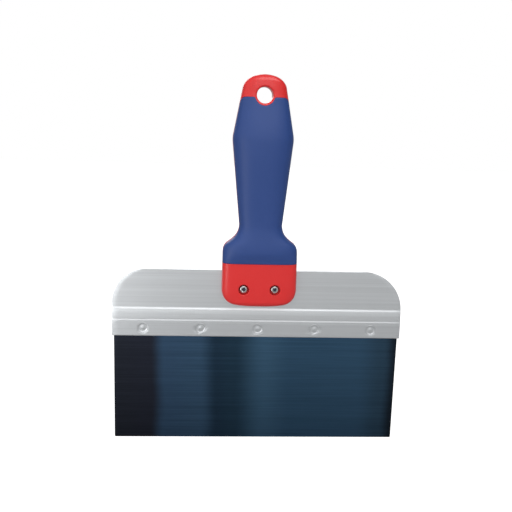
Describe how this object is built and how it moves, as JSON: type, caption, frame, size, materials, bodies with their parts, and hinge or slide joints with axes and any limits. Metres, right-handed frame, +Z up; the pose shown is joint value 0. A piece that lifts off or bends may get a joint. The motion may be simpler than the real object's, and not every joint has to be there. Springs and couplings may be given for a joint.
{
  "type": "drywall taping knife",
  "caption": "Wide flat taping knife: blue-steel blade riveted to an aluminium stiffening plate, with a two-material handle and hang hole.",
  "frame": {"origin": "the middle of the blade's working edge in width, on the handle's middle plane from front to back", "axes": "+Z up the handle from the working edge, +X across the blade to the right seen from the front, and the front of the knife faces -Y"},
  "size_m": [0.205, 0.0244, 0.2593],
  "materials": {
    "blue_steel": "blue tempered spring steel, finely brushed across its width",
    "brushed_aluminium": "satin mill finish with fine lines across its width",
    "rivet_metal": "satin",
    "red_plastic": "semi-gloss moulded",
    "blue_grip": "soft-touch matt",
    "plated_steel": "bright zinc plate"
  },
  "bodies": {
    "root": {"blade": "blue_steel", "back_plate": "brushed_aluminium", "rivet_1": "rivet_metal", "rivet_2": "rivet_metal", "rivet_3": "rivet_metal", "rivet_4": "rivet_metal", "rivet_5": "rivet_metal", "handle_core": "red_plastic", "grip_front": "blue_grip", "grip_back": "blue_grip", "screw_left": "plated_steel", "screw_right": "plated_steel"}
  },
  "joints": []
}
